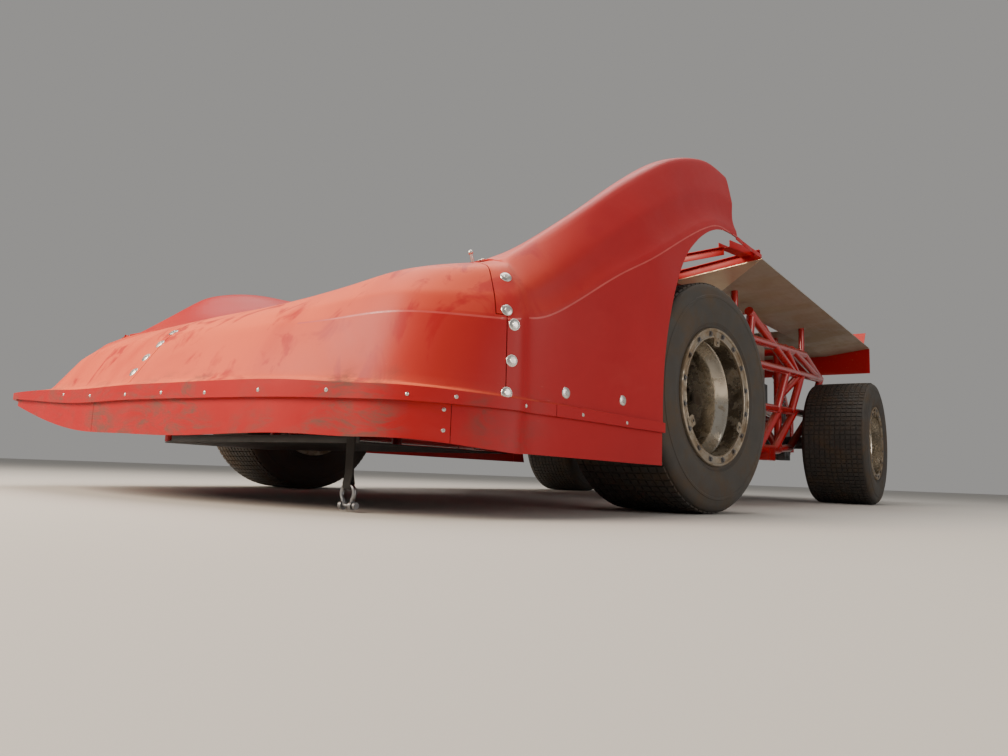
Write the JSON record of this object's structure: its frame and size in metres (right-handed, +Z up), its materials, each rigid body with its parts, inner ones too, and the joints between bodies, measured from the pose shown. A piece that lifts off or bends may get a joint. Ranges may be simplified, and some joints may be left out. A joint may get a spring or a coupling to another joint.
{
  "type": "dirt-track stock car",
  "caption": "Open-wheel-arch dirt-track stock car with a wedge nose, tall left fender flare, tube frame and low roof; left side panels are off.",
  "frame": {"origin": "on the floor under the middle of the overall length", "axes": "+X ahead, +Y to the left side of the car, +Z up"},
  "size_m": [4.9363, 2.3626, 1.2379],
  "materials": {
    "alloy": "brushed aluminium",
    "black_plastic": "black plastic",
    "cast_grey": "dark cast block",
    "galvanised": "galvanised steel",
    "grip_black": "black grip",
    "nose_red": "faded red moulded plastic, scuffed",
    "sheet_bare": "bare aluminium sheet, dusty",
    "sheet_red": "red coated aluminium sheet",
    "steel_dark": "dark oily steel",
    "tube_red": "gloss red powder coat",
    "tyre_rubber": "dusty black rubber",
    "webbing": "black woven webbing",
    "wheel_alloy": "spun aluminium, dull ring and polished barrel"
  },
  "bodies": {
    "chassis": {"cockpit_tub": "sheet_bare", "cowl": "sheet_red", "deck_centre": "sheet_bare", "deck_left": "sheet_bare", "deck_rear": "sheet_bare", "deck_right": "sheet_bare", "door_bars_left": "tube_red", "door_bars_right": "tube_red", "door_panel_right": "sheet_red", "driveline": "steel_dark", "engine_block": "cast_grey", "fender_left": "nose_red", "fender_right": "nose_red", "front_arms": "steel_dark", "front_bumper": "tube_red", "front_clip": "tube_red", "fuel_cell": "black_plastic", "hood": "sheet_red", "lip_strip": "nose_red", "main_rails": "tube_red", "nose_left": "nose_red", "nose_right": "nose_red", "quarter_panel_right": "sheet_red", "rack_housing": "steel_dark", "radiator": "alloy", "rear_axle": "steel_dark", "rear_clip": "tube_red", "rear_links": "steel_dark", "roll_cage": "tube_red", "roof": "sheet_red", "seat": "alloy", "shocks": "steel_dark", "spoiler": "sheet_red", "steering_column": "steel_dark", "tail_panel": "sheet_red", "tow_shackle": "galvanised", "tow_strap": "webbing", "undertray": "black_plastic", "valance_front": "nose_red", "valance_left": "nose_red", "valance_right": "nose_red"},
    "knuckle_left_body": {"knuckle_left": "steel_dark"},
    "knuckle_right_body": {"knuckle_right": "steel_dark"},
    "wheel_fl": {"tyre_front_left": "tyre_rubber", "wheel_front_left": "wheel_alloy", "hub_front_left": "steel_dark"},
    "wheel_fr": {"tyre_front_right": "tyre_rubber", "wheel_front_right": "wheel_alloy", "hub_front_right": "steel_dark"},
    "wheel_rl": {"tyre_rear_left": "tyre_rubber", "wheel_rear_left": "wheel_alloy", "hub_rear_left": "steel_dark"},
    "wheel_rr": {"tyre_rear_right": "tyre_rubber", "wheel_rear_right": "wheel_alloy", "hub_rear_right": "steel_dark"},
    "rack": {"rack_rod": "steel_dark"},
    "hand_wheel": {"steering_wheel": "grip_black"}
  },
  "joints": [
    {"name": "steer_left", "type": "hinge", "parent": "chassis", "child": "knuckle_left_body", "pos_m": [1.14, 0.762, 0.362], "axis": [0, 0, 1], "range_deg": [-12, 28]},
    {"name": "steer_right", "type": "hinge", "parent": "chassis", "child": "knuckle_right_body", "pos_m": [1.14, -0.762, 0.362], "axis": [0, 0, 1], "range_deg": [-12, 28]},
    {"name": "spin_front_left", "type": "hinge", "parent": "knuckle_left_body", "child": "wheel_fl", "pos_m": [1.14, 0.762, 0.362], "axis": [0.1392, 0.9903, 0], "continuous": true},
    {"name": "spin_front_right", "type": "hinge", "parent": "knuckle_right_body", "child": "wheel_fr", "pos_m": [1.14, -0.762, 0.362], "axis": [0.1392, 0.9903, 0], "continuous": true},
    {"name": "spin_rear_left", "type": "hinge", "parent": "chassis", "child": "wheel_rl", "pos_m": [-1.476, 0.965, 0.362], "axis": [0, 1, 0], "continuous": true},
    {"name": "spin_rear_right", "type": "hinge", "parent": "chassis", "child": "wheel_rr", "pos_m": [-1.476, -0.965, 0.362], "axis": [0, 1, 0], "continuous": true},
    {"name": "rack_slide", "type": "slide", "parent": "chassis", "child": "rack", "axis": [0, 1, 0], "range_m": [-0.07, 0.07]},
    {"name": "hand_wheel_turn", "type": "hinge", "parent": "chassis", "child": "hand_wheel", "pos_m": [-0.36, 0.375, 0.83], "axis": [-0.8944, 0, 0.4472], "range_deg": [-240, 240]}
  ],
  "couplings": [
    {"joint": "steer_right", "follows": "steer_left", "ratio": 1},
    {"joint": "rack_slide", "follows": "steer_left", "m_per_rad": 0.13},
    {"joint": "hand_wheel_turn", "follows": "steer_left", "ratio": 7.5},
    {"joint": "spin_rear_right", "follows": "spin_rear_left", "ratio": 1}
  ]
}
